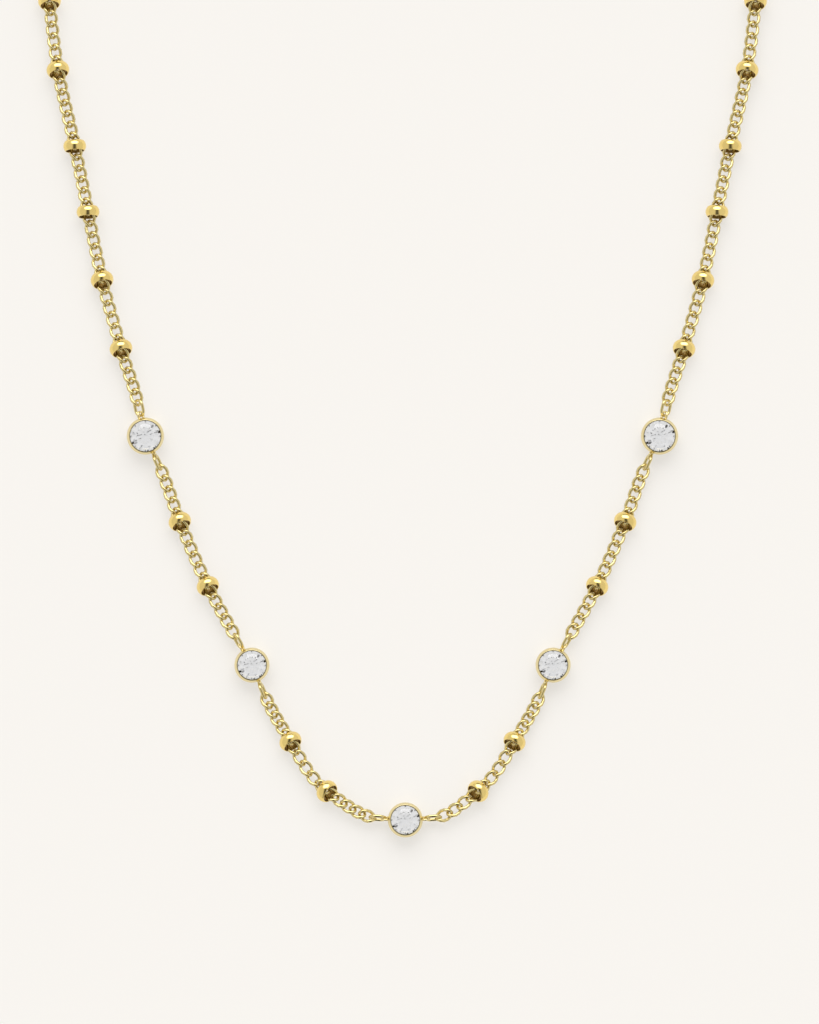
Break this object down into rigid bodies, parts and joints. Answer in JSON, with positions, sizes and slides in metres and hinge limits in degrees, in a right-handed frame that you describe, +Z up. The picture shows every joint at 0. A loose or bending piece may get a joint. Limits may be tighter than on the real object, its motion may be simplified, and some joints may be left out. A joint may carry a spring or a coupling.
{
  "type": "crystal necklace",
  "caption": "Fine gold curb chain necklace lying flat as a closed loop, with drilled saucer beads and round bezel-set crystals along its front.",
  "frame": {"origin": "on the surface that the necklace lies on, below the middle of the whole loop's bounding box", "axes": "+Z up from the surface, +Y from the middle stone towards the clasp, +X to the right as seen from above with the clasp away"},
  "size_m": [0.1056, 0.1808, 0.0033],
  "materials": {
    "polished_gold": "high polish, pale yellow gold plating",
    "crystal": "clear colourless faceted crystal"
  },
  "bodies": {
    "root": {"bezel_middle": "polished_gold", "clasp": "polished_gold", "chain_left": "polished_gold", "chain_right": "polished_gold", "chain_back_left": "polished_gold", "chain_back_right": "polished_gold", "beads_back_left": "polished_gold", "beads_back_right": "polished_gold", "bead_left_1": "polished_gold", "bead_left_2": "polished_gold", "bead_left_3": "polished_gold", "bead_left_4": "polished_gold", "bead_left_5": "polished_gold", "bead_left_6": "polished_gold", "bead_left_7": "polished_gold", "bead_left_8": "polished_gold", "bead_left_9": "polished_gold", "bead_left_10": "polished_gold", "bead_right_1": "polished_gold", "bead_right_2": "polished_gold", "bead_right_3": "polished_gold", "bead_right_4": "polished_gold", "bead_right_5": "polished_gold", "bead_right_6": "polished_gold", "bead_right_7": "polished_gold", "bead_right_8": "polished_gold", "bead_right_9": "polished_gold", "bead_right_10": "polished_gold", "bezel_left_1": "polished_gold", "bezel_left_2": "polished_gold", "bezel_right_1": "polished_gold", "bezel_right_2": "polished_gold", "ring_left_1": "polished_gold", "ring_left_2": "polished_gold", "ring_left_3": "polished_gold", "ring_left_4": "polished_gold", "ring_left_5": "polished_gold", "ring_right_1": "polished_gold", "ring_right_2": "polished_gold", "ring_right_3": "polished_gold", "ring_right_4": "polished_gold", "ring_right_5": "polished_gold", "stone_middle": "crystal", "stone_left_1": "crystal", "stone_left_2": "crystal", "stone_right_1": "crystal", "stone_right_2": "crystal"}
  },
  "joints": []
}
